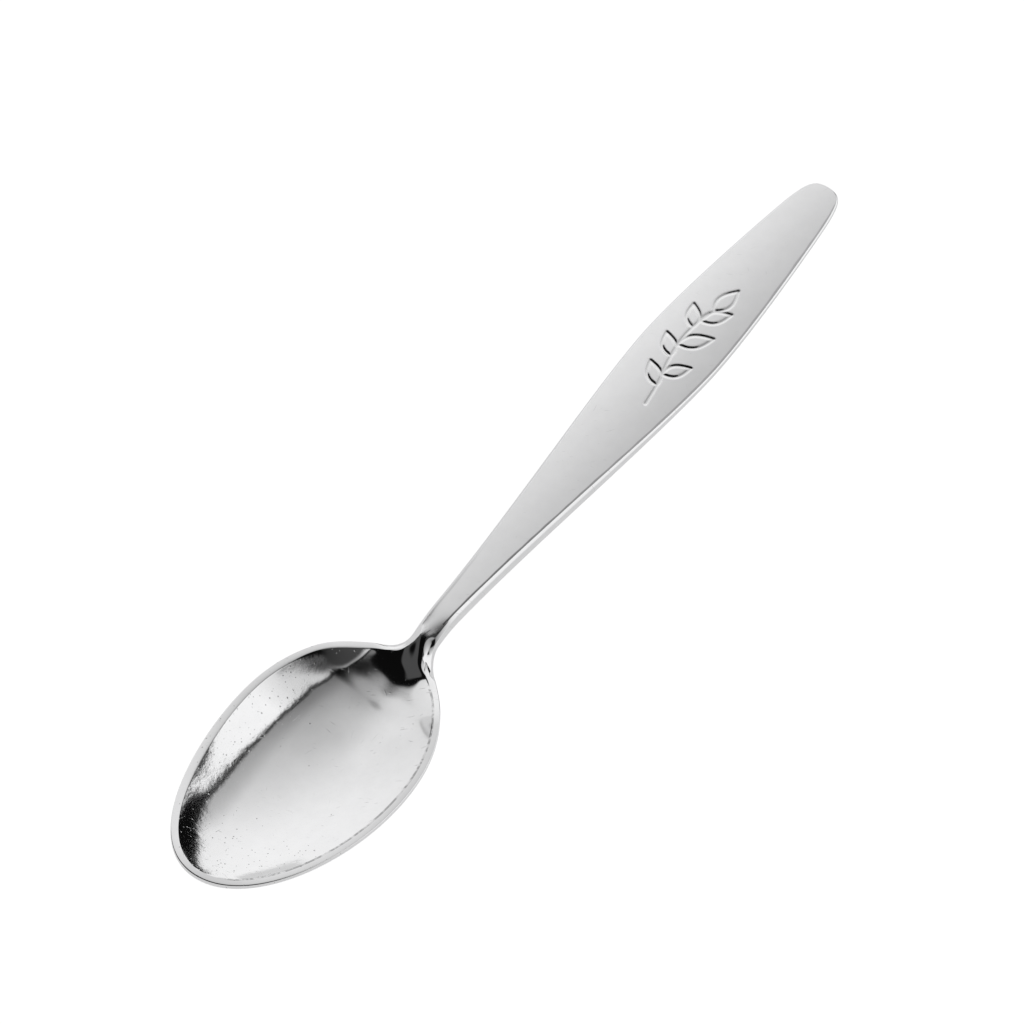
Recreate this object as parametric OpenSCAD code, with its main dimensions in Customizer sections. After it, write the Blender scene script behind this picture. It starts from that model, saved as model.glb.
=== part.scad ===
// Child's table spoon, pressed and ground from one blank of stainless steel.
// The spoon is drawn along X with the bowl's tip at 0 and the handle's flat top at height 0.
// It is then tilted onto the two places that it rests on: the bowl's underside and the handle's end.

/* [Overall] */
// Length from the bowl's tip to the handle's end
spoon_length = 150; // [125:0.5:185]

/* [Bowl] */
// Distance from the tip to the bowl's widest place
bowl_widest_at = 27.8; // [22:0.1:33]
// Width of the bowl at its widest place
bowl_width = 28.5; // [24:0.1:36]
// Distance from the widest place to the shoulder, where the rim ends in a crease across its edge
shoulder_run = 19.8; // [16:0.1:23]
// Width across the shoulder
shoulder_width = 10.5; // [8:0.1:13]
// Angle at which the outline closes at the shoulder, from the length of the spoon
shoulder_angle = 47; // [44:1:56]
// Depth of the hollow below the rim at the widest place
bowl_depth = 5.2; // [4.4:0.1:6.5]
// Rise of the hollow's floor from the widest place to the foot of its rear wall
heel_rise = 0.9; // [0.4:0.1:1.6]
// Thickness of the bowl's floor
floor_thickness = 1.3; // [0.9:0.05:1.8]
// Height of the rim's edge
rim_height = 0.9; // [0.7:0.05:1.3]
// Width of the level land on top of the rim
rim_land = 1; // [0.6:0.05:1.3]
// Radius of the corner at the rim's upper edge
upper_radius = 0.2; // [0.1:0.05:0.4]
// Radius of the corner at the rim's lower edge
lower_radius = 0.35; // [0.2:0.05:0.45]
// How far the rim rises at the tip above the line of the handle's top
tip_rise = 3.3; // [0:0.1:4]

/* [Neck] */
// Distance from the shoulder to the narrowest place
neck_run = 4.8; // [4:0.1:7]
// Width at the narrowest place, rounded sides included
neck_width = 4.1; // [3.4:0.1:5]
// Thickness at the narrowest place
neck_thickness = 3.3; // [2.6:0.1:4.5]
// How far the edges of the top dip below the line of the handle's top between shoulder and neck
neck_dip = 2.6; // [1.5:0.1:3.5]
// Width of the rounded side beyond the top's edge just behind the shoulder
fillet_band = 1.35; // [1:0.05:1.6]
// Width of the rounded side at the narrowest place
neck_round = 0.7; // [0.5:0.05:0.9]
// Depth of the side's widest place below the top's edge at the narrowest place
neck_side = 1.4; // [1:0.05:1.6]

/* [Handle] */
// Width of the handle at its widest place
handle_width = 12.6; // [10:0.1:15]
// Distance from the handle's widest place to its end
handle_taper = 36.6; // [30:0.5:45]
// Width of the handle where its end starts to round
end_width = 7.2; // [5.5:0.1:8.4]
// Length of the rounded end
end_round = 4.8; // [3.5:0.1:5.5]
// Thickness of the handle halfway between the neck and its widest place
middle_thickness = 2.4; // [2:0.05:2.8]
// Thickness of the handle at its widest place
handle_thickness = 1.3; // [1.1:0.05:1.9]
// Thickness of the handle at its end
end_thickness = 0.95; // [0.8:0.05:1.3]
// Rise of the handle's top from its edges to its middle, at the widest place
crown = 0.25; // [0:0.05:0.5]

/* [Hidden] */

// Shape of the outline: how far each curve reaches towards the corner of its two tangents
tip_full = [0.60, 0.44];
shoulder_full = [0.80, 0.65];
neck_full = [0.80, 0.64];
handle_reach = [0.27, 0.22];
taper_reach = [0.30, 0.07];
end_full = [0.73, 0.92];
end_angle = 10.7;

// Steps along each curve of the outline, and across the top, the underside and the corners
tip_steps = 20;
shoulder_steps = 14;
neck_steps = 8;
handle_steps = 18;
taper_steps = 8;
end_steps = 8;
top_steps = 18;
under_steps = 14;
corner_steps = 3;

// The dip of the top's edges: its lowest place behind the shoulder, its fall before it and its climb after it
dip_run = 2.2;
dip_fall = 8.6;
dip_climb = 4.5;
// How far the hollow's rear wall starts before the shoulder and ends behind the dip
wall_before = 2.8;
wall_after = 0.7;
// How far before the shoulder the floor starts to thicken into the neck
thick_before = 0.6;
// Width of the rounded side at the handle's middle and widest place and at its end, and its depth there
middle_round = 0.55;
handle_round = 0.3;
end_band = 0.3;
middle_side = 1.15;
handle_side = 0.6;
end_side = 0.4;
// Length over which the rim's upright edge turns into the rounded side, and the turn of that side
crease_run = 1.2;
side_angle = 60;
// Share of the tip's run over which the underside gets its full thickness
tip_share = 1 / 3;

// Places along the spoon
shoulder_at = bowl_widest_at + shoulder_run;
neck_at = shoulder_at + neck_run;
handle_widest_at = spoon_length - handle_taper;
handle_middle = (neck_at + handle_widest_at) / 2;
dip_at = shoulder_at + dip_run;
dip_from = dip_at - dip_fall;
dip_to = dip_at + dip_climb;
wall_from = shoulder_at - wall_before;
wall_to = dip_to + wall_after;

// How square the hollow is across and along its front: below zero its walls flatten towards the rim
hollow_square = -0.2;
front_square = -0.2;
// How soon the floor's line straightens behind the widest place
heel_turn = 5;
// Powers of the underside's section in the neck, and in the flat part of the handle
bar_power = 2.2;
flat_power = 9;
// Where the section starts to flatten, as a share of the way from the handle's middle back to the neck
flat_share = 0.6;
// How far the lower corner turns in under the rim
rim_turn = 40;
// Least and greatest tilt of the spoon at rest, and how often their middle is tried
tilt_range = [-10, 20];
tilt_tries = 30;

function mix(a, b, t) = a + (b - a) * t;
function ease(t) = let (c = min(1, max(0, t))) c * c * (3 - 2 * c);
function settle(t) = let (c = min(1, max(0, t))) c * c * c * (c * (6 * c - 15) + 10);
function ease_between(x, from, to) = ease((x - from) / (to - from));

// One cubic curve from a to b with handles c and d, without its last point
function cubic(a, c, d, b, steps) = [
    for (i = [0:steps - 1])
        let (t = i / steps, s = 1 - t)
        s * s * s * a + 3 * s * s * t * c + 3 * s * t * t * d + t * t * t * b
];
// A curve that turns the corner k between a and b
function turn(a, k, b, full, steps) =
    cubic(a, a + (k - a) * full[0], b + (k - b) * full[1], b, steps);

// Value at x of a smooth line through stations [x, value], with no overshoot between them
function rise_after(s, i) = (s[i + 1][1] - s[i][1]) / (s[i + 1][0] - s[i][0]);
function slope_at(s, i) =
    i == 0 || i == len(s) - 1 ? 0
    : let (before = rise_after(s, i - 1), after = rise_after(s, i))
      before * after <= 0 ? 0 : 2 * before * after / (before + after);
function along(s, x, i = 0) =
    x <= s[0][0] ? s[0][1]
    : i == len(s) - 1 ? s[i][1]
    : x > s[i + 1][0] ? along(s, x, i + 1)
    : let (
        run = s[i + 1][0] - s[i][0],
        t = (x - s[i][0]) / run,
        a = slope_at(s, i) * run,
        b = slope_at(s, i + 1) * run,
        d = s[i + 1][1] - s[i][1]
      )
      s[i][1] + a * t + (3 * d - 2 * a - b) * t * t + (a + b - 2 * d) * t * t * t;

// Half of the outline, from the tip to the handle's end
tip = [0, 0];
widest = [bowl_widest_at, bowl_width / 2];
shoulder = [shoulder_at, shoulder_width / 2];
neck = [neck_at, neck_width / 2];
grip = [handle_widest_at, handle_width / 2];
corner = [spoon_length - end_round, end_width / 2];
end = [spoon_length, 0];
outline = concat(
    turn(tip, [0, widest.y], widest, tip_full, tip_steps),
    turn(
        widest, [shoulder.x - (widest.y - shoulder.y) / tan(shoulder_angle), widest.y],
        shoulder, shoulder_full, shoulder_steps
    ),
    turn(
        shoulder, [shoulder.x + (shoulder.y - neck.y) / tan(shoulder_angle), neck.y],
        neck, neck_full, neck_steps
    ),
    cubic(
        neck, neck + [(grip.x - neck.x) * handle_reach[0], 0],
        grip - [(grip.x - neck.x) * handle_reach[1], 0], grip, handle_steps
    ),
    cubic(
        grip, grip + [(corner.x - grip.x) * taper_reach[0], 0],
        corner - [1, -tan(end_angle)] * (corner.x - grip.x) * taper_reach[1], corner, taper_steps
    ),
    turn(corner, [end.x, corner.y - end_round * tan(end_angle)], end, end_full, end_steps),
    [end]
);
last = len(outline) - 1;

// Direction into the spoon at each point of the outline
inward = [
    for (i = [0:last])
        i == 0 ? [1, 0]
        : i == last ? [-1, 0]
        : let (d = outline[i + 1] - outline[i - 1]) [d.y, -d.x] / norm(d)
];

// Height of the top's edges: the rim's curve from tip to bowl, the dip at the neck, then the level handle
function edge_line(x) =
    let (
        u = max(0, bowl_widest_at - x) / bowl_widest_at,
        falling = mix(tip_rise * u * u, -neck_dip, ease_between(x, dip_from, dip_at))
    )
    mix(falling, 0, ease_between(x, dip_at, dip_to));

// Width of the rim's land, and behind the crease of the rounded side
function band_line(x) = along(
    [
        [shoulder_at, rim_land],
        [shoulder_at + crease_run, fillet_band],
        [neck_at, neck_round],
        [handle_middle, middle_round],
        [handle_widest_at, handle_round],
        [spoon_length, end_band]
    ], x
);

// Depth below the top's edge of the rim's lower edge, and behind the crease of the side's widest place
function side_line(x) = along(
    [
        [shoulder_at, rim_height],
        [neck_at, neck_side],
        [handle_middle, middle_side],
        [handle_widest_at, handle_side],
        [spoon_length, end_side]
    ], x
);

// Thickness of the spoon along its middle, without the crown
function thickness_line(x) = along(
    [
        [shoulder_at - thick_before, floor_thickness],
        [neck_at, neck_thickness],
        [handle_middle, middle_thickness],
        [handle_widest_at, handle_thickness],
        [spoon_length, end_thickness]
    ], x
);

// Section of the hollow from its middle, 0, to its rim, 1
function bell(u, square = hollow_square) = 1 - (1 - square) * u * u - square * u * u * u * u;

// Height of the top along the spoon's middle
floor_level = -bowl_depth;
tip_level = edge_line(rim_land);
function middle_line(x) =
    x <= bowl_widest_at
    ? mix(tip_level, floor_level, bell((bowl_widest_at - x) / (bowl_widest_at - rim_land), front_square))
    : let (u = min(1, (x - bowl_widest_at) / shoulder_run))
      mix(
          floor_level + heel_rise * (1 + heel_turn) * u * u / (1 + heel_turn * u),
          0, settle((x - wall_from) / (wall_to - wall_from))
      );

// Depth of that middle below the top's edges, below zero where it stands above them
function hollow_line(x) = edge_line(x) - middle_line(x);

// Rise of the handle's middle over its edges, where its top is half wide each way
function crown_line(x, half) =
    crown * ease_between(x, neck_at, handle_middle) * pow(2 * half / handle_width, 2);

// Section of the underside in the neck and handle from its middle, 0, to its edge, 1
flat_from = mix(handle_middle, neck_at, flat_share);
function bar_section(v, x) =
    let (power = mix(bar_power, flat_power, ease_between(x, flat_from, handle_widest_at)))
    sqrt(max(0, 1 - pow(abs(v), power)));

// Share of that section in the underside, 0 in the bowl, and of the rounded side in the edge
function bar_share(x) = ease_between(x, shoulder_at - neck_run, neck_at);
function round_share(x) = ease_between(x, shoulder_at, shoulder_at + crease_run);

// A point at the outline, set in from it and mirrored by side
function at_outline(i, side, inset, z) =
    let (p = outline[i] + inward[i] * inset)
    [p.x, side * max(0, p.y), z];

// The underside's own edge: its plan, and the depth of the underside's middle below it
function under_edge(i) =
    outline[i] + inward[i] * lower_radius * (1 - cos(rim_turn)) * (1 - round_share(outline[i].x));
function belly_line(i) =
    let (
        x = under_edge(i).x,
        thickness = mix(rim_height, thickness_line(x), ease_between(x, 0, tip_share * bowl_widest_at))
    )
    max(0, hollow_line(x) + thickness - side_line(outline[i].x));

// From the top's edge outwards to the outline, as the rim's corner or as the upper half of the rounded side
function upper_edge(i, side) =
    let (x = outline[i].x, round = round_share(x))
    [
        for (k = [0:corner_steps])
            let (
                a = 90 - 90 * k / corner_steps,
                u = side_angle * (corner_steps - k) / (corner_steps + 1),
                turned_in = band_line(x) * (1 - cos(u)) / (1 - cos(side_angle)),
                turned_down = side_line(x) * (1 - sin(u) / sin(side_angle))
            )
            at_outline(
                i, side, mix(upper_radius * (1 - cos(a)), turned_in, round),
                edge_line(x) - mix(upper_radius * (1 - sin(a)), turned_down, round)
            )
    ];

// From the outline inwards to the underside, as the rim's lower corner or along the underside's section
function lower_edge(i, side) =
    let (x = outline[i].x, round = round_share(x), half = max(0, under_edge(i).y), belly = belly_line(i))
    [
        for (k = [0:corner_steps])
            let (
                a = rim_turn * k / corner_steps,
                v = cos(180 / under_steps * (k + 1) / (corner_steps + 2)),
                corner_depth = side_line(x) - lower_radius * (sin(rim_turn) - sin(a))
            )
            at_outline(
                i, side, mix(lower_radius * (1 - cos(a)), half * (1 - v), round),
                edge_line(x) - mix(corner_depth, side_line(x) + belly * bar_section(v, x), round)
            )
    ];
function edge_points(i, side) = concat(upper_edge(i, side), lower_edge(i, side));

// Across the top, from its left edge to its right one
function top_points(i) =
    let (
        p = outline[i] + inward[i] * band_line(outline[i].x),
        half = max(0, p.y),
        rise = crown_line(p.x, half) - hollow_line(p.x)
    )
    [
        for (j = [0:top_steps])
            let (v = cos(180 * j / top_steps))
            [p.x, half * v, edge_line(outline[i].x) + rise * bell(v)]
    ];

// Across the underside, from its right edge to its left one, without its ends
function under_points(i) =
    let (x = outline[i].x, p = under_edge(i), half = max(0, p.y), belly = belly_line(i))
    [
        for (j = [1:under_steps - 1])
            let (
                v = -cos(180 * j / under_steps),
                section = mix(bell(v), bar_section(v, x), bar_share(x))
            )
            [p.x, half * v, edge_line(x) - side_line(x) - belly * section]
    ];

function ring(i) =
    let (left = edge_points(i, 1))
    concat(
        top_points(i), edge_points(i, -1), under_points(i),
        [for (k = [len(left) - 1:-1:0]) left[k]]
    );

// At the tip and at the handle's end a ring closes to a seam: one top point, then the edge's points
function seam(i) = concat([top_points(i)[0]], edge_points(i, 1));
edge_count = 2 * (corner_steps + 1);
seam_count = edge_count + 1;
ring_count = top_steps + 1 + edge_count + under_steps - 1 + edge_count;
function seam_place(j) =
    let (k = j - top_steps, back = ring_count - j)
    k <= 0 ? 0
    : k <= edge_count ? k
    : min(edge_count, back);
function place(i, j) =
    i == 0 ? seam_place(j)
    : seam_count + (i - 1) * ring_count + (i == last ? seam_place(j) : j);

// The spoon as drawn, before it is laid down
drawn = concat(seam(0), [for (i = [1:last - 1]) each ring(i)], seam(last));
triangles = [
    for (i = [0:last - 1], j = [0:ring_count - 1])
        let (
            next = (j + 1) % ring_count,
            a = place(i, j),
            b = place(i, next),
            c = place(i + 1, next),
            d = place(i + 1, j)
        )
        each [[a, c, b], [a, d, c]]
];
faces = [for (t = triangles) if (t[0] != t[1] && t[1] != t[2] && t[2] != t[0]) t];

// The tilt at which the bowl's underside and the handle's end are equally low
function laid_height(p, tilt) = p.z * cos(tilt) - p.x * sin(tilt);
function lowest(points, tilt) = min([for (p = points) laid_height(p, tilt)]);
bowl_under = [for (p = drawn) if (p.x < neck_at) p];
end_under = [for (p = drawn) if (p.x > spoon_length - 2 * end_round) p];
function resting_tilt(low, high, tries) =
    let (m = (low + high) / 2)
    tries == 0 ? m
    : lowest(bowl_under, m) < lowest(end_under, m) ? resting_tilt(m, high, tries - 1)
    : resting_tilt(low, m, tries - 1);
tilt = resting_tilt(tilt_range[0], tilt_range[1], tilt_tries);
laid = [for (p = drawn) [p.x * cos(tilt) + p.z * sin(tilt), p.y, laid_height(p, tilt)]];

// The origin is under the middle of the resting spoon
from_x = min([for (p = laid) p.x]);
to_x = max([for (p = laid) p.x]);
floor_z = min([for (p = laid) p.z]);
origin = [(from_x + to_x) / 2, 0, floor_z];

module spoon() {
    color([0.78, 0.79, 0.80])
        translate(-origin)
            polyhedron(points = laid, faces = faces, convexity = 6);
}

spoon();
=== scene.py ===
# Child's table spoon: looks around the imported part, with camera, floor and studio
import math
import bpy
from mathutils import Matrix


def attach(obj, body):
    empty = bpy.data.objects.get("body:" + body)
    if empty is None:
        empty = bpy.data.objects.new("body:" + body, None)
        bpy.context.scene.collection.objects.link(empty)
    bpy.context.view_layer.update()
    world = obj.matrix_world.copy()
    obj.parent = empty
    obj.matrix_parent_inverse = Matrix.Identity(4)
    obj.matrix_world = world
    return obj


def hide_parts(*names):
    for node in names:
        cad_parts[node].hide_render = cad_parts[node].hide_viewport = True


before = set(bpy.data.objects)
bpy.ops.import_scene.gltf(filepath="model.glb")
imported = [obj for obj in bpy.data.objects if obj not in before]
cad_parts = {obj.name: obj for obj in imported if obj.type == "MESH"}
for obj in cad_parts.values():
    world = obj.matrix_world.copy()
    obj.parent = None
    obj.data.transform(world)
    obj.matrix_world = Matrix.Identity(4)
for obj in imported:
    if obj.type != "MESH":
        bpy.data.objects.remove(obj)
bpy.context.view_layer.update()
print("frame loaded")


def activate(piece):
    # nothing else is selected, because an operator acts on all that is
    bpy.ops.object.select_all(action="DESELECT")
    piece.select_set(True)
    bpy.context.view_layer.objects.active = piece


# spoon body: a merged copy of the CAD mesh, made quads and subdivided
spoonLook = {
    "name": "spoonBody",
    "mergeGap": 0.000002,
    "levels": 2,
    "topSlope": 14,       # degrees from level within which a face belongs to the handle's top
    "topFrom": -0.0255,   # metres along the spoon, where that top is taken to begin
    "edgeStep": 0.0015,   # metres between the stations at which the top's half width is taken
}

# planishing of the hollow: how much its floor and its flanks stand proud at places along the spoon
# lengths here are in millimetres from the bowl's tip, before the spoon is laid down on its tilt
hollowLook = {
    "tilt": 2.6375,
    "tipAt": (74.972, 7.851),
    "upward": 0.2,                  # least upward part of the normal of what is worked
    "halfWidths": (
        (1, 0.99), (1.5, 2.37), (2.5, 4.12), (4, 5.77), (6, 7.34), (9, 9.06), (13, 10.73), (18, 12.13), (23, 12.97),
        (28, 13.25), (33, 12.83), (38, 11.34), (42, 9.0), (45, 6.47), (47.6, 3.45), (50, 1.75), (55, 1.45)),
    "hollowRange": (1.2, 54, 6),    # from, to, and how far the work fades in and out
    "reach": 5.5,
    "floorRise": (
        (6, 0.0422), (12, -0.1178), (18, 0.0592), (24, 0.1942),
        (30, -0.0112), (36, -0.0526), (41, -0.2309), (46, 0.1180)),
    "flankRise": (
        (6, -0.1323), (12, 0.0478), (18, 0.1064), (24, 0.0241),
        (30, -0.0968), (36, 0.0647), (41, 0.0182), (46, 0.0134)),
    "heelReach": 3.3,
    "heelFade": 2,
    # places along the spoon, then places across it with the rise there
    "heelRise": (
        (35, ((-3, -0.136), (0, -0.031), (3, 0.148), (6, -0.134), (9, 0.080))),
        (38, ((-3, -0.081), (0, -0.060), (3, 0.007), (6, 0.160), (9, 0.025))),
        (41, ((-3, -0.002), (0, -0.111), (3, 0.047), (6, -0.175), (9, -0.088))),
        (44, ((-3, 0.093), (0, 0.183), (3, 0.128), (6, 0.383))),
        (47, ((-3, 0.175), (0, -0.097), (3, 0.346))),
        (50, ((0, 0.462),)),
    ),
    # the same again, worked into the finer mesh
    "touchRange": (25, 56, 3),      # from, to, and how far the work fades out
    "heelTouch": (
        (35, ((-6, 0.059), (-3, -0.165), (0, 0.071), (3, 0.098), (6, -0.105), (9, 0.093))),
        (38, ((-6, 0.449), (-3, -0.048), (0, -0.009), (3, -0.004), (6, 0.064), (9, 0.027))),
        (41, ((-6, -0.284), (-3, 0.147), (0, -0.086), (3, 0.176), (6, -0.050), (9, -0.031))),
        (44, ((-6, 0.523), (-3, -0.061), (0, 0.041), (3, 0.040), (6, -0.143))),
        (47, ((-3, 0.598), (0, -0.234), (3, 0.212))),
        (50, ((0, -0.044),)),
    ),
    "rimRange": (1.2, 46),          # where the hollow's edge is marked
    "rimUpward": 0.5,
    "rimStep": 0.2,                 # run over which the edge's slope is taken
}
farOff = 9   # millimetres, what a distance says out of reach


def ease(t):
    t = min(1, max(0, t))
    return t * t * (3 - 2 * t)


def between(stations, x):
    # value at x on a smooth line through the stations
    if x <= stations[0][0]:
        return stations[0][1]
    if x >= stations[-1][0]:
        return stations[-1][1]
    slopes = [(b[1] - a[1]) / (b[0] - a[0]) for a, b in zip(stations, stations[1:])]
    turns = [slopes[0]] + [(a + b) / 2 for a, b in zip(slopes, slopes[1:])] + [slopes[-1]]
    for index, (a, b) in enumerate(zip(stations, stations[1:])):
        if x <= b[0]:
            run, rise = b[0] - a[0], b[1] - a[1]
            t = (x - a[0]) / run
            start, stop = turns[index] * run, turns[index + 1] * run
            return a[1] + start * t + (3 * rise - 2 * start - stop) * t ** 2 + (start + stop - 2 * rise) * t ** 3


def fromTip(spot, look):
    # millimetres from the bowl's tip, along the spoon as drawn before its tilt
    lean = math.radians(look["tilt"])
    tipX, tipZ = look["tipAt"]
    return (spot.x * 1000 + tipX) * math.cos(lean) - (spot.z * 1000 - tipZ) * math.sin(lean)


def heelWork(places, x, y, reach):
    # rise at a point, from marks that each fade out around their place
    rise = 0
    for place, marks in places:
        for side, height in marks:
            rise += height * math.exp(-((x - place) ** 2 + (y - side) ** 2) / reach ** 2)
    return rise


def planishHollow(spoon, look):
    mesh = spoon.data
    hollow = {index for face in mesh.polygons if face.normal.z > look["upward"] for index in face.vertices}
    start, stop, fade = look["hollowRange"]
    moved = 0
    for index in hollow:
        spot = mesh.vertices[index].co
        x, y = fromTip(spot, look), spot.y * 1000
        if not start < x < stop:
            continue
        across = (y / between(look["halfWidths"], x)) ** 2
        if across >= 1:
            continue
        rise = 0
        for (place, floorRise), (_, flankRise) in zip(look["floorRise"], look["flankRise"]):
            rise += math.exp(-((x - place) / look["reach"]) ** 2) * (floorRise + 4 * flankRise * across)
        rise *= ease((x - start) / fade) * ease((stop - x) / fade)
        rise += heelWork(look["heelRise"], x, y, look["heelReach"]) * ease((stop - x) / look["heelFade"])
        rise *= 1 - across
        spot.z += rise / 1000
        moved = max(moved, abs(rise))
    print("hollow planished by up to", round(moved, 3), "mm")


def touchHeel(spoon, look):
    # the upward points are collected first, because reading a normal after a move takes long
    upward = {vertex.index for vertex in spoon.data.vertices if vertex.normal.z > look["upward"]}
    start, stop, fade = look["touchRange"]
    moved = 0
    for index in upward:
        spot = spoon.data.vertices[index].co
        x, y = fromTip(spot, look), spot.y * 1000
        if not start < x < stop:
            continue
        across = (y / between(look["halfWidths"], x)) ** 2
        if across < 1:
            rise = heelWork(look["heelTouch"], x, y, look["heelReach"])
            rise *= (1 - across) * ease((stop - x) / fade)
            spot.z += rise / 1000
            moved = max(moved, abs(rise))
    print("heel touched up by up to", round(moved, 3), "mm")


def markEdge(spoon, look):
    # how far in millimetres each point of the handle's top lies from the top's edge
    mesh = spoon.data
    steep = math.cos(math.radians(look["topSlope"]))
    onTop = {index for face in mesh.polygons
             if face.normal.z > steep and face.center.x > look["topFrom"] for index in face.vertices}
    widest = {}
    for index in onTop:
        spot = mesh.vertices[index].co
        step = round(spot.x / look["edgeStep"])
        widest[step] = max(widest.get(step, 0), abs(spot.y))
    stations = sorted((step * look["edgeStep"], widest[step]) for step in widest)
    marks = mesh.attributes.new("fromEdge", "FLOAT", "POINT")
    for vertex in mesh.vertices:
        marks.data[vertex.index].value = farOff
    for index in onTop:
        spot = mesh.vertices[index].co
        marks.data[index].value = max(0, between(stations, spot.x) - abs(spot.y)) * 1000
    print("points on the handle's top", len(onTop))


def markRim(spoon, look):
    # how far in millimetres each point of the bowl lies inside the hollow's edge, less than 0 outside it
    mesh = spoon.data
    start, stop = look["rimRange"]
    marks = mesh.attributes.new("fromRim", "FLOAT", "POINT")
    for vertex in mesh.vertices:
        gap = farOff
        x = fromTip(vertex.co, look)
        if start < x < stop and vertex.normal.z > look["rimUpward"]:
            half, ahead = between(look["halfWidths"], x), between(look["halfWidths"], x + look["rimStep"])
            gap = (half - abs(vertex.co.y) * 1000) / math.hypot(1, (ahead - half) / look["rimStep"])
        marks.data[vertex.index].value = gap


# engraving: a leaf sprig pressed into the handle's top, in millimetres along and across the handle
sprigLook = {
    "area": (25.5, 51.5, 4.3),   # from, to and half width of the finer mesh under it
    "level": 0.97,               # least upward part of the normal where it is cut
    "cuts": (6, 1),
    "stem": ((27.0, -1.6), (31.0, -0.9), (35.0, 0.2), (39.0, 0.9), (43.0, 0.8), (46.2, 0.1)),
    "stemPoints": (97, 0.2),     # how many, and their spacing
    # foot, turn in degrees, length and width
    "leaves": (
        (30.6, -1.0, 48, 4.4, 2.0), (32.6, -0.5, -38, 4.2, 1.9), (36.0, 0.45, 44, 4.2, 2.0),
        (38.2, 0.8, -42, 5.2, 2.2), (42.0, 0.9, 34, 4.2, 1.9), (43.6, 0.7, -40, 4.6, 2.0), (46.2, 0.1, -8, 5.0, 2.2)),
    "bow": (12, 0.85),           # steps along a leaf's side, and a power below 1 that widens it towards the foot
    "halfWidth": 0.27,
    "spread": 1.6,               # reach of the groove's sides over its half width
    "depth": 0.00015,
}


def sprigLines(look):
    # the stem as one line, then each leaf as its two bowed sides
    first = look["stem"][0][0]
    points, spacing = look["stemPoints"]
    steps, power = look["bow"]
    lines = [[(first + i * spacing, between(look["stem"], first + i * spacing)) for i in range(points)]]
    for footX, footY, turn, length, width in look["leaves"]:
        wayX, wayY = math.cos(math.radians(turn)), math.sin(math.radians(turn))
        for side in (-1, 1):
            bow = [(t / steps, side * width / 2 * math.sin(math.pi * (t / steps) ** power)) for t in range(steps + 1)]
            lines.append([(footX + wayX * length * along - wayY * out, footY + wayY * length * along + wayX * out)
                          for along, out in bow])
    return lines


def lineGap(x, y, line):
    nearest = farOff
    for (ax, ay), (bx, by) in zip(line, line[1:]):
        runX, runY = bx - ax, by - ay
        t = min(1, max(0, ((x - ax) * runX + (y - ay) * runY) / (runX * runX + runY * runY)))
        nearest = min(nearest, math.hypot(x - ax - t * runX, y - ay - t * runY))
    return nearest


def engrave(spoon, look):
    start, stop, half = look["area"]
    mesh = spoon.data
    # finer mesh under the sprig: cuts along the handle first, then across it
    for turn, cuts in enumerate(look["cuts"]):
        activate(spoon)
        bpy.ops.object.mode_set(mode="EDIT")
        bpy.ops.mesh.select_mode(type="EDGE")
        bpy.ops.mesh.select_all(action="DESELECT")
        bpy.ops.object.mode_set(mode="OBJECT")
        inside = {index for face in mesh.polygons
                  if face.normal.z > look["level"] and start < face.center.x * 1000 < stop
                  and abs(face.center.y) * 1000 < half for index in face.vertices}
        for edge in mesh.edges:
            a, b = edge.vertices
            if a in inside and b in inside:
                run = mesh.vertices[b].co - mesh.vertices[a].co
                edge.select = (abs(run.x) > abs(run.y)) == (turn == 0)
        bpy.ops.object.mode_set(mode="EDIT")
        bpy.ops.mesh.subdivide(number_cuts=cuts, smoothness=0)
        bpy.ops.object.mode_set(mode="OBJECT")
    lines = sprigLines(look)
    groove = spoon.vertex_groups.new(name="groove")
    reach = look["halfWidth"] * look["spread"]
    for vertex in mesh.vertices:
        x, y = vertex.co.x * 1000, vertex.co.y * 1000
        if vertex.normal.z > look["level"] and start < x < stop and abs(y) < half:
            gap = min(lineGap(x, y, line) for line in lines)
            if gap < reach:
                groove.add([vertex.index], ease((reach - gap) / reach), "REPLACE")
    pressed = spoon.modifiers.new("pressed", "DISPLACE")
    pressed.vertex_group = "groove"
    pressed.direction = "Z"
    pressed.mid_level = 0
    pressed.strength = -look["depth"]
    bpy.ops.object.modifier_apply(modifier="pressed")
    print("sprig engraved")


def makeSpoon(look):
    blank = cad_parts["spoon"]
    spoon = blank.copy()
    spoon.data = blank.data.copy()
    spoon.name = look["name"]
    bpy.context.scene.collection.objects.link(spoon)
    activate(spoon)
    bpy.ops.object.mode_set(mode="EDIT")
    bpy.ops.mesh.select_all(action="SELECT")
    bpy.ops.mesh.remove_doubles(threshold=look["mergeGap"])
    bpy.ops.mesh.tris_convert_to_quads(
        face_threshold=math.radians(180), shape_threshold=math.radians(180), topology_influence=2)
    bpy.ops.object.mode_set(mode="OBJECT")
    print("quads", len([f for f in spoon.data.polygons if len(f.vertices) == 4]), "of", len(spoon.data.polygons))
    planishHollow(spoon, hollowLook)
    finer = spoon.modifiers.new("finer", "SUBSURF")
    finer.levels = finer.render_levels = look["levels"]
    bpy.ops.object.modifier_apply(modifier="finer")
    touchHeel(spoon, hollowLook)
    markEdge(spoon, look)
    markRim(spoon, hollowLook)
    engrave(spoon, sprigLook)
    bpy.ops.object.shade_smooth()
    print("spoon faces", len(spoon.data.polygons))
    return spoon


spoon = makeSpoon(spoonLook)


# short ways to place nodes
def addNode(tree, kind, **values):
    node = tree.nodes.new(kind)
    for name, value in values.items():
        setattr(node, name, value)
    return node


def feed(tree, socket, value):
    if isinstance(value, bpy.types.NodeSocket):
        tree.links.new(value, socket)
    else:
        socket.default_value = value


def feedAll(tree, node, values):
    # values by the name or number of the node's input
    for name, value in values.items():
        feed(tree, node.inputs[name], value)


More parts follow.
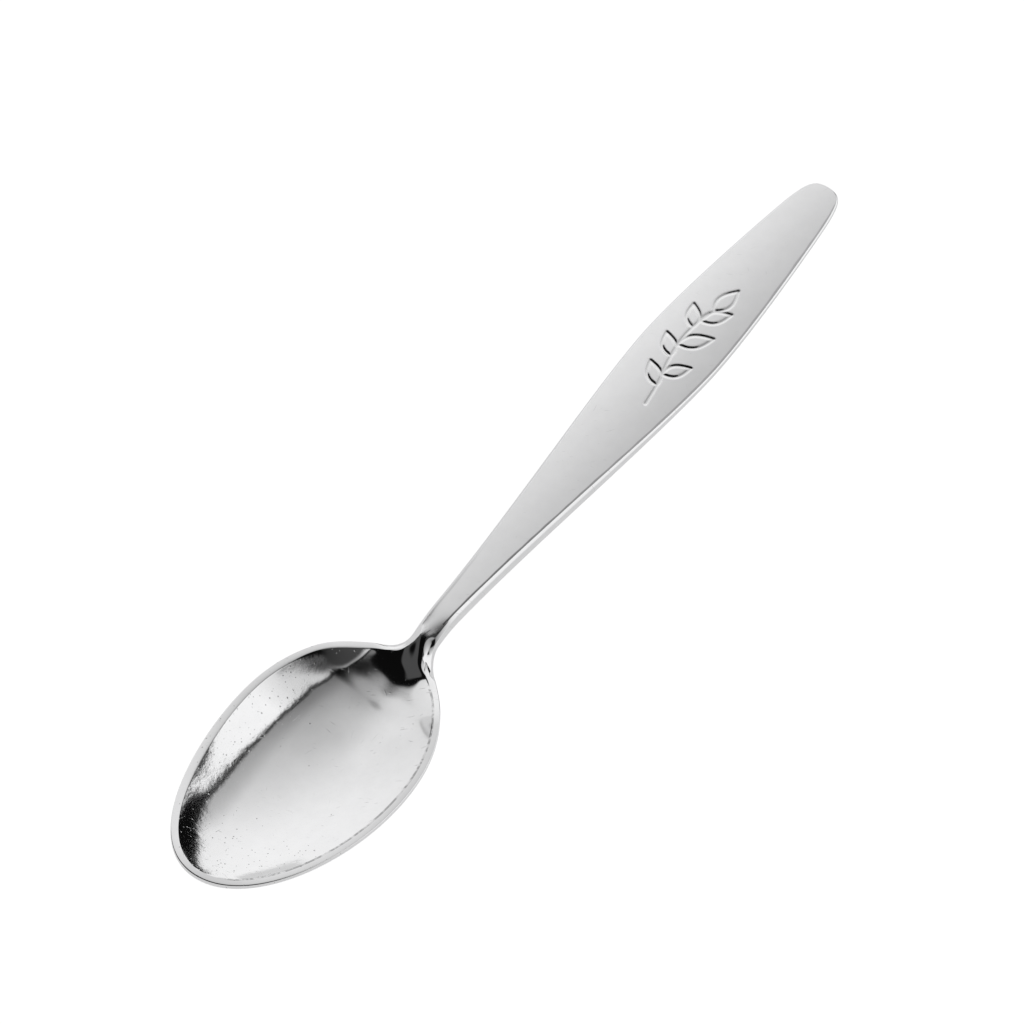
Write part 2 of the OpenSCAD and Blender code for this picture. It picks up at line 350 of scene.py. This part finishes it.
def math2(tree, how, first, second=0.5, third=0.0, clamp=False):
    node = addNode(tree, "ShaderNodeMath", operation=how, use_clamp=clamp)
    for socket, value in zip(node.inputs, (first, second, third)):
        feed(tree, socket, value)
    return node.outputs[0]


def chain(tree, how, first, *others):
    for other in others:
        first = math2(tree, how, first, other)
    return first


def split(tree, vector):
    node = addNode(tree, "ShaderNodeSeparateXYZ")
    tree.links.new(vector, node.inputs[0])
    return [node.outputs[axis] for axis in "XYZ"]


def dot(tree, vector, axis):
    node = addNode(tree, "ShaderNodeVectorMath", operation="DOT_PRODUCT")
    feedAll(tree, node, {0: vector, 1: axis})
    return node.outputs["Value"]


def scale(tree, vector, by):
    node = addNode(tree, "ShaderNodeVectorMath", operation="SCALE")
    feedAll(tree, node, {0: vector, "Scale": by})
    return node.outputs[0]


def ramp(tree, value, start, stop, low=0.0, high=1.0, smooth=True):
    node = addNode(tree, "ShaderNodeMapRange", interpolation_type="SMOOTHSTEP" if smooth else "LINEAR")
    feedAll(tree, node, {"Value": value, "From Min": start, "From Max": stop, "To Min": low, "To Max": high})
    return node.outputs["Result"]


def noise(tree, vector, size, detail=2.0, rough=0.5):
    node = addNode(tree, "ShaderNodeTexNoise")
    feedAll(tree, node, {"Vector": vector, "Scale": size, "Detail": detail, "Roughness": rough})
    return node.outputs["Fac"]


def mixColor(tree, share, low, high):
    node = addNode(tree, "ShaderNodeMix", data_type="RGBA")
    feedAll(tree, node, {"Factor": share, "A": low, "B": high})
    return node.outputs["Result"]


def newMask(name, numbers):
    # a node group that takes a vector and some numbers and gives a mask
    group = bpy.data.node_groups.new(name, "ShaderNodeTree")
    group.interface.new_socket(name="Vector", in_out="INPUT", socket_type="NodeSocketVector")
    for number in numbers:
        group.interface.new_socket(name=number, in_out="INPUT", socket_type="NodeSocketFloat")
    group.interface.new_socket(name="Mask", in_out="OUTPUT", socket_type="NodeSocketFloat")
    return group, addNode(group, "NodeGroupInput").outputs


def useMask(tree, group, values):
    node = addNode(tree, "ShaderNodeGroup", node_tree=group)
    feedAll(tree, node, values)
    return node.outputs["Mask"]


def cellsOf(tree, vector, dimensions):
    # distance from the middle of the cell, and the cell's own random numbers
    cells = addNode(tree, "ShaderNodeTexVoronoi", voronoi_dimensions=dimensions)
    feedAll(tree, cells, {"Vector": vector, "Scale": 1})
    return cells.outputs["Distance"], split(tree, cells.outputs["Color"])


# steel: mirror polish worn by use in the bowl, fine satin on the handle's top; painted light and shade on the satin,
# painted shade along the top's edges and on the hollow's right edge
# lengths in millimetres, with the origin under the spoon's middle and y towards the left; most rows
# are ramps, which say from where to where and sometimes the values there
steelLook = {
    "name": "wornSteel",
    "polish": (0.80, 0.80, 0.805, 1),
    "satinPaintedShade": (0.715, 0.715, 0.72, 1),     # satin towards the handle's right side, with painted shade
    "satinPaintedLight": (0.965, 0.965, 0.97, 1),    # and towards its left side, with painted light
    "satinLightAcross": (-5.5, 5.5),
    "satinEnd": (0.3, -24.3, -23.1),         # slant of its end towards the bowl, then where the end lies
    "topFacing": (0.93, 0.975),              # how far up a point faces where the satin sets in
    "neckFacing": (0.78, 0.9),               # the same on the neck, which is rounder
    "neckFrom": (-18, -21),
    "bowlFrom": (-24, -27),
    "polishRoughness": 0.06,
    "satinRoughness": 0.30,
    "grain": (7, 3, 0.7),                    # noise: size, detail and roughness
    "grainEffect": (0.06, 0.02),             # on the satin beyond the polish, and on the polish
    "markRoughness": 0.12,
    "wornTip": (-57, -66),
    "wornLeft": (5.5, 10),
    # turn, length, spacing and width
    "scratches": ((0.35, 30, 1.3, 0.035), (1.25, 16, 1.1, 0.05), (2.4, 22, 1.5, 0.04), (0.9, 7, 0.7, 0.07)),
    "scratchPatches": (0.16, (0.35, 0.62, 0.25, 1)),
    # spacing and size, then the share of cells with a pit where the bowl is worn, in the bowl and everywhere
    "pits": ((1.3, 0.08, 0.4, 0.2, 0.12), (2.7, 0.12, 0.4, 0, 0.2), (0.55, 0.10, 0.75, 0, 0)),
    # heights in thousandths of a millimetre
    "ripple": ((0.9, 5, 0.6), 5.5, 1.6),     # noise, then its height where worn and everywhere
    "broad": ((0.22, 1), 5),
    "pitHeight": -16,
    "scratchHeight": -6,
    # painted shade: a dim line along the top's edges, stronger on the right side; distance from the edge, its start
    # at the neck, then its strength
    "edgeShadeLine": (0.40, 0.20),
    "edgeShadeFrom": (-24.5, -21.5),
    "edgeShadeRight": (-22, 36, 0.76, 0.32),
    "edgeShadeLeft": (-16, -4, 0.22, 0),
    # painted shade: a fine dark line on the hollow's edge, on the right side
    "rimLine": ((0.26, 0.16), (-0.16, -0.06)),
    "rimPatches": ((1.1, 3, 0.6), (0.4, 0.56, 0.25, 1)),
    "rimSide": (-2, -5),
    "rimShade": 0.5,
    "pitSoilAndShade": (-0.35, 0.45),                # change on the satin, and soil with painted shade in a pit of the polish
    # soil with painted shade in the scratches
    "scratchSoilAndShade": 0.24,
    "mottle": ((0.5, 4, 0.6), (0.3, 0.7, 0.975, 1.0)),
}


def makeScratches():
    # thin marks in one direction: each cell of a stretched pattern holds at most one
    drift, bend = (0.09, 1), (9, 9, 0)        # noise that bends them, and how far
    rare = (0.3, 0.4)                         # luck from which a cell has its mark
    group, given = newMask("scratches", ("Turn", "Length", "Spacing", "Width"))
    waver = addNode(group, "ShaderNodeTexNoise")
    feedAll(group, waver, {"Vector": given["Vector"], "Scale": drift[0], "Detail": drift[1]})
    bent = addNode(group, "ShaderNodeVectorMath", operation="MULTIPLY_ADD")
    feedAll(group, bent, {0: waver.outputs["Color"], 1: bend, 2: given["Vector"]})
    turned = addNode(group, "ShaderNodeVectorRotate", rotation_type="Z_AXIS")
    feedAll(group, turned, {"Vector": bent.outputs[0], "Angle": given["Turn"]})
    along, across, _ = split(group, turned.outputs[0])
    joined = addNode(group, "ShaderNodeCombineXYZ")
    feedAll(group, joined, {"X": math2(group, "DIVIDE", along, given["Length"]),
                            "Y": math2(group, "DIVIDE", across, given["Spacing"])})
    distance, luck = cellsOf(group, joined.outputs[0], "2D")
    width = math2(group, "MULTIPLY", given["Width"], luck[1])
    near = math2(group, "SUBTRACT", 1, math2(group, "DIVIDE", distance, width), clamp=True)
    made = addNode(group, "NodeGroupOutput")
    feed(group, made.inputs["Mask"], math2(group, "MULTIPLY", near, ramp(group, luck[0], *rare)))
    return group


def makePits():
    # round specks: one in some of the cells
    smallest, border = 0.35, (1, 0.45)        # least size, and where a speck fades in
    group, given = newMask("pits", ("Spacing", "Size", "Share"))
    shrunk = addNode(group, "ShaderNodeVectorMath", operation="DIVIDE")
    feedAll(group, shrunk, {0: given["Vector"], 1: given["Spacing"]})
    distance, luck = cellsOf(group, shrunk.outputs[0], "3D")
    size = math2(group, "MULTIPLY", given["Size"], math2(group, "ADD", luck[1], smallest))
    gone = math2(group, "DIVIDE", math2(group, "MULTIPLY", distance, given["Spacing"]), size)
    chosen = math2(group, "LESS_THAN", luck[0], given["Share"])
    made = addNode(group, "NodeGroupOutput")
    feed(group, made.inputs["Mask"], math2(group, "MULTIPLY", ramp(group, gone, *border), chosen))
    return group


def findSatin(tree, look, x, y, up):
    # the handle's top, ending a little aslant towards the bowl
    slant, start, stop = look["satinEnd"]
    neck = math2(tree, "MULTIPLY", ramp(tree, up, *look["neckFacing"]), ramp(tree, x, *look["neckFrom"]))
    level = math2(tree, "MAXIMUM", ramp(tree, up, *look["topFacing"]), neck)
    return math2(tree, "MULTIPLY", level, ramp(tree, math2(tree, "MULTIPLY_ADD", y, slant, x), start, stop))


def findMarks(tree, look, mm, worn, inBowl):
    # scratches and pits of use
    scratchTree, pitTree = makeScratches(), makePits()
    marks = []
    for turn, length, spacing, width in look["scratches"]:
        marks.append(useMask(tree, scratchTree, {
            "Vector": mm, "Turn": turn, "Length": length, "Spacing": spacing, "Width": width}))
    size, patches = look["scratchPatches"]
    scratched = math2(tree, "MULTIPLY", chain(tree, "MAXIMUM", *marks), ramp(tree, noise(tree, mm, size), *patches))
    spots = []
    for spacing, size, ofWorn, ofBowl, ofAll in look["pits"]:
        share = math2(tree, "MULTIPLY_ADD", worn, ofWorn, math2(tree, "MULTIPLY_ADD", inBowl, ofBowl, ofAll))
        spots.append(useMask(tree, pitTree, {"Vector": mm, "Spacing": spacing, "Size": size, "Share": share}))
    return scratched, chain(tree, "MAXIMUM", *spots)


def shapeSteel(tree, look, mm, worn, satin, scratched, pitted):
    # waviness of the worn polish, stronger where the bowl is used most, and the depth of the marks
    wave, ofWorn, ofAll = look["ripple"]
    ripple = math2(tree, "MULTIPLY", noise(tree, mm, *wave), math2(tree, "MULTIPLY_ADD", worn, ofWorn, ofAll))
    wave, rise = look["broad"]
    waves = math2(tree, "ADD", ripple, math2(tree, "MULTIPLY", noise(tree, mm, *wave), rise))
    depth = math2(tree, "ADD", math2(tree, "MULTIPLY", pitted, look["pitHeight"]),
                  math2(tree, "MULTIPLY", scratched, look["scratchHeight"]))
    height = math2(tree, "ADD", depth, math2(tree, "MULTIPLY", waves, math2(tree, "SUBTRACT", 1, satin)))
    bump = addNode(tree, "ShaderNodeBump")
    feedAll(tree, bump, {"Strength": 1, "Distance": 0.000001, "Height": height})
    return bump.outputs[0]


def roughSteel(tree, look, mm, satin, scratched, pitted):
    # polish, satin, and the marks that scatter a little
    grain = math2(tree, "SUBTRACT", noise(tree, mm, *look["grain"]), 0.5)
    polish = look["polishRoughness"]
    rough = math2(tree, "MULTIPLY_ADD", satin, look["satinRoughness"] - polish, polish)
    rough = math2(tree, "MULTIPLY_ADD", grain, math2(tree, "MULTIPLY_ADD", satin, *look["grainEffect"]), rough)
    return math2(tree, "MULTIPLY_ADD", math2(tree, "MAXIMUM", scratched, pitted), look["markRoughness"], rough)


def colorSteel(tree, look, mm, x, y, satin, scratched, pitted):
    # satin painted lighter towards the left and darker towards the right, a line of painted shade along the top's
    # edges, soil and painted shade in the marks, and painted shade on the rim
    shade = mixColor(tree, ramp(tree, y, *look["satinLightAcross"], smooth=False), look["satinPaintedShade"], look["satinPaintedLight"])
    color = mixColor(tree, satin, look["polish"], shade)
    # painted shade: a dim line along the top's edges, stronger on the right
    edge = addNode(tree, "ShaderNodeAttribute", attribute_name="fromEdge").outputs["Fac"]
    right = math2(tree, "MULTIPLY", math2(tree, "LESS_THAN", y, 0), ramp(tree, x, *look["edgeShadeRight"]))
    left = math2(tree, "MULTIPLY", math2(tree, "GREATER_THAN", y, 0), ramp(tree, x, *look["edgeShadeLeft"]))
    line = chain(tree, "MULTIPLY", ramp(tree, edge, *look["edgeShadeLine"]), ramp(tree, x, *look["edgeShadeFrom"]),
                 math2(tree, "ADD", right, left))
    # painted shade: a fine, broken dark line on the hollow's right edge
    rim = addNode(tree, "ShaderNodeAttribute", attribute_name="fromRim").outputs["Fac"]
    patch, share = look["rimPatches"]
    rim = chain(tree, "MULTIPLY", *[ramp(tree, rim, *side) for side in look["rimLine"]],
                ramp(tree, noise(tree, mm, *patch), *share), ramp(tree, y, *look["rimSide"]), look["rimShade"])
    # soil and painted shade in the pits and scratches
    inPits = math2(tree, "MULTIPLY", pitted, math2(tree, "MULTIPLY_ADD", satin, *look["pitSoilAndShade"]))
    soilAndShade = chain(tree, "MAXIMUM", inPits, math2(tree, "MULTIPLY", scratched, look["scratchSoilAndShade"]), rim)
    clearOfSoilAndShade = math2(tree, "MULTIPLY", math2(tree, "SUBTRACT", 1, line), math2(tree, "SUBTRACT", 1, soilAndShade))
    patch, share = look["mottle"]
    return scale(tree, color, math2(tree, "MULTIPLY", clearOfSoilAndShade, ramp(tree, noise(tree, mm, *patch), *share)))


def makeSteel(look):
    steel = bpy.data.materials.new(look["name"])
    steel.use_nodes = True
    tree = steel.node_tree
    coords = addNode(tree, "ShaderNodeTexCoord")
    mm = scale(tree, coords.outputs["Object"], 1000)
    x, y, _ = split(tree, mm)
    _, _, up = split(tree, coords.outputs["Normal"])
    satin = findSatin(tree, look, x, y, up)
    inBowl = ramp(tree, x, *look["bowlFrom"])
    leftWall = math2(tree, "MULTIPLY", ramp(tree, y, *look["wornLeft"]), inBowl)
    worn = math2(tree, "MAXIMUM", ramp(tree, x, *look["wornTip"]), leftWall)
    scratched, pitted = findMarks(tree, look, mm, worn, inBowl)
    feedAll(tree, tree.nodes["Principled BSDF"], {
        "Metallic": 1,
        "Normal": shapeSteel(tree, look, mm, worn, satin, scratched, pitted),
        "Roughness": roughSteel(tree, look, mm, satin, scratched, pitted),
        "Base Color": colorSteel(tree, look, mm, x, y, satin, scratched, pitted),
    })
    return steel


spoon.data.materials.clear()
spoon.data.materials.append(makeSteel(steelLook))
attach(spoon, "root")
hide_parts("spoon")
print("steel done")

# floor: pale, glowing for the camera and a little less for the metal, with the spoon's shadow on it
floorLook = {"size": 3, "color": (0.5, 0.5, 0.5, 1), "glow": 0.87, "glowInMetal": 0.6}


def makeFloor(look):
    bpy.ops.object.select_all(action="DESELECT")
    bpy.ops.mesh.primitive_plane_add(size=look["size"], location=(0, 0, 0))
    floor = bpy.context.active_object
    floor.name = "floor"
    paint = bpy.data.materials.new("paleFloor")
    paint.use_nodes = True
    tree = paint.node_tree
    path = addNode(tree, "ShaderNodeLightPath")
    inMetal = math2(tree, "MULTIPLY", path.outputs["Is Glossy Ray"], look["glowInMetal"])
    feedAll(tree, tree.nodes["Principled BSDF"], {
        "Base Color": look["color"],
        "Roughness": 1,
        "Specular IOR Level": 0,
        "Emission Color": (1, 1, 1, 1),
        "Emission Strength": math2(tree, "MULTIPLY_ADD", path.outputs["Is Camera Ray"], look["glow"], inMetal),
    })
    floor.data.materials.append(paint)


makeFloor(floorLook)

# camera at the photograph's angle
cameraLook = {
    "elevation": 58.259,
    "turn": 53.409,
    "distance": 0.9,
    "sensor": 36,
    "pixelsPerMm": 7.075,
    "middle": (523.71, 539.31),   # pixel that shows the origin
    "frame": 1024,
}


def placeCamera(look):
    up, turn, away = math.radians(look["elevation"]), math.radians(look["turn"]), look["distance"]
    spot = (-away * math.cos(up) * math.sin(turn), -away * math.cos(up) * math.cos(turn), away * math.sin(up))
    bpy.ops.object.camera_add(location=spot, rotation=(math.pi / 2 - up, 0, -turn))
    camera = bpy.context.active_object
    camera.data.sensor_width = look["sensor"]
    camera.data.lens = look["sensor"] * away * 1000 * look["pixelsPerMm"] / look["frame"]
    camera.data.shift_x = (look["frame"] / 2 - look["middle"][0]) / look["frame"]
    camera.data.shift_y = (look["middle"][1] - look["frame"] / 2) / look["frame"]
    bpy.context.scene.camera = camera


placeCamera(cameraLook)

# studio: a large soft panel on the far side, a second one on the right, the gap between them, and the dark room
# places are parts of a direction's x, y and z; most rows are ramps, as in the steel
studioLook = {
    "gapCurve": (1.8889, -2.1490, 0.4483, 0.5283, -0.6966),   # the gap's y, over x to the fourth power down to 1
    "gapHalf": (0.006, 0.018),                   # where the gap is fully dark and where the panels are lit
    "gapFade": (0.35, 0.22),                     # the far panel's loss of light beside the gap, and its reach
    "mainWay": (0.8259, 0.5604, -0.0625),        # way in which the far panel brightens
    "mainLight": (-0.3147, 1.7937, 0.230, 1.620),
    "frontEdge": (0.203, 0.230, 0.190),          # the far panel's near edge: its bulge's y, its place and its bow
    "frontBlur": (-0.03, 0.03),
    "foot": (0.2, 0.1, 0.75),                    # low light at the far left: its height, blur and light
    "footFrom": (0.02, 0.08),
    "footSide": (0.8, 0.9),
    "rightLight": (-0.1, 0.4, 0.30, 1.12),       # how the right panel brightens away from the camera
    "rightFrom": (-0.138, -0.078),
    # unlit patch above it: its end and blur, then its lower side over x and that side's blur
    "rightDark": (0.25, 0.06, -0.889, 0.422, -0.680, 0.057),
    "patchHeight": (0.42, 0.5),
    "patchLoss": -0.9,
    "lowDark": ((0.2417, -0.5169, -0.8212), -0.0389, 0.005),   # unlit corner of the room, low past the bowl's tip
    "lowTop": (-0.2125, -0.6074, 0.35, 0.01),    # its end towards the right panel: y, lean, that y's height and blur
    "leafWay": (-0.8, 0.5, -0.33),               # a dim stand beside the camera
    "leafNear": (0.155, 0.275),
    "leafFar": (0.64, 0.52),
    "leafSide": (0.03, -0.03),
    "leafLight": 0.075,
    "fill": 0.55,                                # soft light low behind the camera
    "fillHeight": (0.38, 0.2),
    "fillFrom": (-0.4, -0.7),
    "fillBehind": (-0.78, -0.9),
    "room": 0.004,
}


def lightMain(tree, look, way, x, y, z, beside):
    # the far panel, with its bowed near edge and the low light at its foot
    loss, reach = look["gapFade"]
    bulge, place, bow = look["frontEdge"]
    off = math2(tree, "SUBTRACT", y, bulge)
    edge = math2(tree, "MULTIPLY_ADD", math2(tree, "MULTIPLY", off, off), -bow, place)
    main = chain(tree, "MULTIPLY", ramp(tree, beside, *look["gapHalf"]), ramp(tree, beside, 0, reach, 1 - loss, 1),
                 ramp(tree, dot(tree, way, look["mainWay"]), *look["mainLight"], smooth=False),
                 ramp(tree, math2(tree, "SUBTRACT", x, edge), *look["frontBlur"]))
    height, soft, glow = look["foot"]
    foot = chain(tree, "MULTIPLY", ramp(tree, z, height, height - soft), ramp(tree, x, *look["footFrom"], 0, glow),
                 ramp(tree, y, *look["footSide"]))
    return math2(tree, "MAXIMUM", main, foot)


def lightRight(tree, look, x, y, z, beside):
    # the right panel, and the unlit patch above it
    dark, lit = look["gapHalf"]
    right = chain(tree, "MULTIPLY", ramp(tree, beside, -dark, -lit), ramp(tree, x, *look["rightLight"], smooth=False),
                  ramp(tree, x, *look["rightFrom"]))
    end, endBlur, square, slope, start, soft = look["rightDark"]
    line = math2(tree, "MULTIPLY_ADD", math2(tree, "MULTIPLY_ADD", x, square, slope), x, start)
    patch = chain(tree, "MULTIPLY", ramp(tree, math2(tree, "SUBTRACT", line, y), 0, soft),
                  ramp(tree, x, end, end - endBlur), ramp(tree, z, *look["patchHeight"]))
    return math2(tree, "MULTIPLY", right, math2(tree, "MULTIPLY_ADD", patch, look["patchLoss"], 1))


def dimCorner(tree, look, way, y, z, light):
    # the unlit corner past the tip
    corner, begin, blur = look["lowDark"]
    at, lean, height, soft = look["lowTop"]
    top = math2(tree, "MULTIPLY_ADD", z, lean, at - height * lean)
    belowTop = ramp(tree, math2(tree, "SUBTRACT", y, top), -soft, soft)
    unlit = math2(tree, "MULTIPLY", belowTop, ramp(tree, dot(tree, way, corner), begin - blur, begin + blur))
    return math2(tree, "MULTIPLY", light, math2(tree, "SUBTRACT", 1, unlit))


def lightNear(tree, look, way, x, z, light):
    # what stands beside and behind the camera
    toLeaf = dot(tree, way, look["leafWay"])
    leaf = chain(tree, "MULTIPLY", ramp(tree, toLeaf, *look["leafNear"]), ramp(tree, toLeaf, *look["leafFar"]),
                 ramp(tree, x, *look["leafSide"]))
    light = math2(tree, "MULTIPLY_ADD", leaf, look["leafLight"], light)
    low = math2(tree, "MULTIPLY", ramp(tree, z, *look["fillHeight"]), ramp(tree, x, *look["fillFrom"]))
    low = math2(tree, "MAXIMUM", low, ramp(tree, x, *look["fillBehind"]))
    return math2(tree, "MULTIPLY_ADD", low, look["fill"], light)


def makeStudio(look):
    world = bpy.data.worlds.new("studio")
    bpy.context.scene.world = world
    world.use_nodes = True
    tree = world.node_tree
    way = addNode(tree, "ShaderNodeTexCoord").outputs["Generated"]
    x, y, z = split(tree, way)
    curve = look["gapCurve"][0]
    for part in look["gapCurve"][1:]:
        curve = math2(tree, "MULTIPLY_ADD", x, curve, part)
    beside = math2(tree, "SUBTRACT", y, curve)
    light = math2(tree, "ADD", lightMain(tree, look, way, x, y, z, beside), lightRight(tree, look, x, y, z, beside))
    light = dimCorner(tree, look, way, y, z, light)
    light = lightNear(tree, look, way, x, z, light)
    light = math2(tree, "ADD", light, look["room"])
    # the camera itself sees white
    path = addNode(tree, "ShaderNodeLightPath")
    feedAll(tree, tree.nodes["Background"], {
        "Color": (1, 1, 1, 1), "Strength": math2(tree, "MAXIMUM", light, path.outputs["Is Camera Ray"])})


makeStudio(studioLook)
bpy.context.scene.view_settings.view_transform = "Standard"
print("camera and studio placed")
